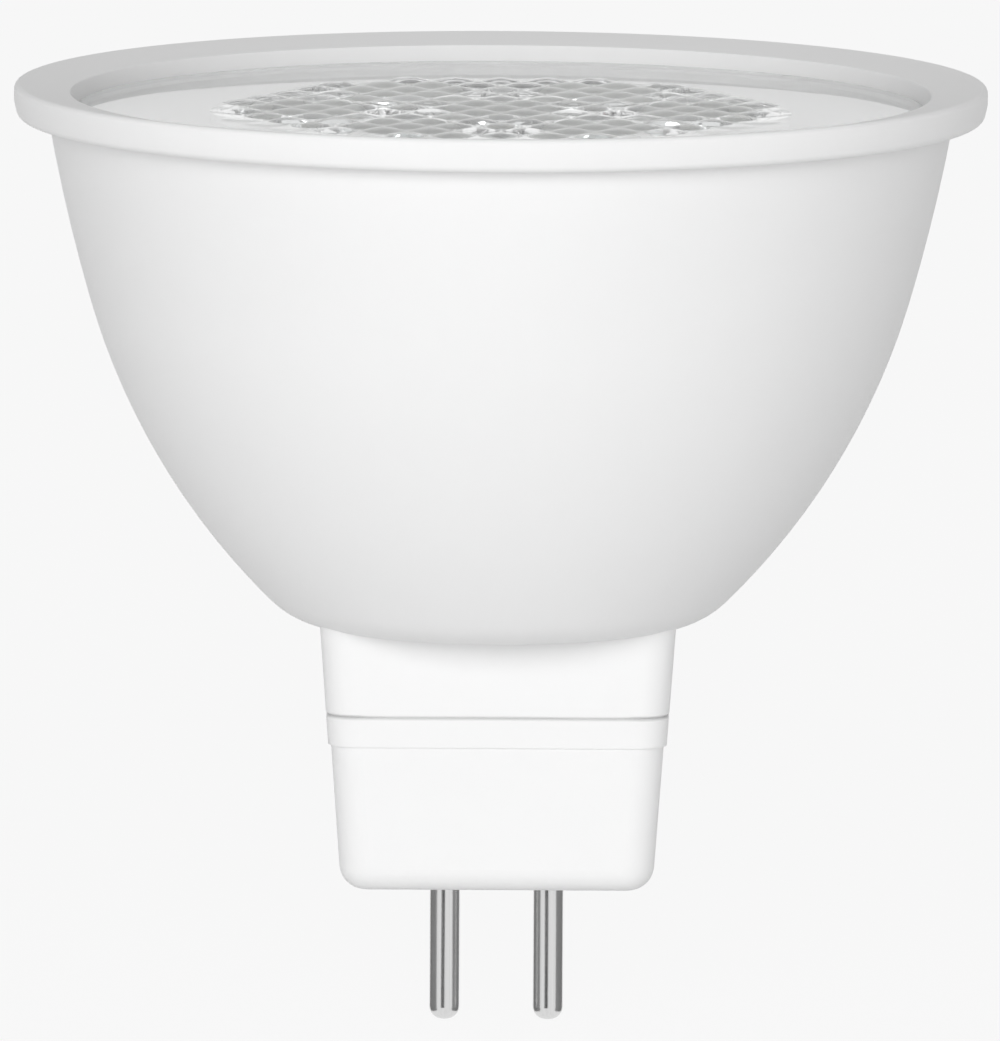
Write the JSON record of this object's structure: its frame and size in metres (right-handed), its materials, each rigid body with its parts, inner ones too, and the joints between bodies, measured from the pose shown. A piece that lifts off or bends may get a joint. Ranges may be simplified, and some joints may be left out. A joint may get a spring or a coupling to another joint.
{
  "type": "led spotlight bulb",
  "caption": "Reflector-shaped LED spotlight bulb: white tapered bowl with a front rim, recessed clear collimator lens, rectangular neck and a pin base.",
  "frame": {"origin": "midway between the two pins, on the flat face of the foot that they leave", "axes": "+Z along the optical axis towards the lens, X along the line of the two pins"},
  "size_m": [0.05, 0.05, 0.0484],
  "materials": {
    "white_plastic": "satin moulded white",
    "clear_plastic": "clear moulded, polished",
    "plated_pin": "bright plating with fine lengthways marks",
    "bare_aluminium": "pressed, satin",
    "white_board": "white solder mask",
    "grey_pad": "soft matt sheet",
    "led_package": "pale yellow phosphor in a white frame",
    "screw_steel": "plain zinc",
    "green_board": "green solder mask",
    "black_package": "moulded black",
    "ferrite": "dark grey ferrite",
    "tan_ceramic": "tan ceramic body",
    "can_aluminium": "drawn can",
    "red_insulation": "soft sleeve",
    "black_insulation": "soft sleeve"
  },
  "bodies": {
    "root": {"housing": "white_plastic", "base_cap": "white_plastic", "lens": "clear_plastic", "pin_left": "plated_pin", "pin_right": "plated_pin", "heat_sink": "bare_aluminium", "light_board": "white_board", "thermal_pad": "grey_pad", "led_centre": "led_package", "led_ring_1": "led_package", "led_ring_2": "led_package", "led_ring_3": "led_package", "led_ring_4": "led_package", "led_ring_5": "led_package", "led_ring_6": "led_package", "board_screws": "screw_steel", "driver_board": "green_board", "bridge_rectifier": "black_package", "freewheel_diode": "black_package", "driver_chip": "black_package", "sense_resistor_1": "black_package", "sense_resistor_2": "black_package", "power_inductor": "ferrite", "input_capacitor": "tan_ceramic", "smoothing_capacitor": "can_aluminium", "wire_positive": "red_insulation", "wire_negative": "black_insulation"}
  },
  "joints": []
}
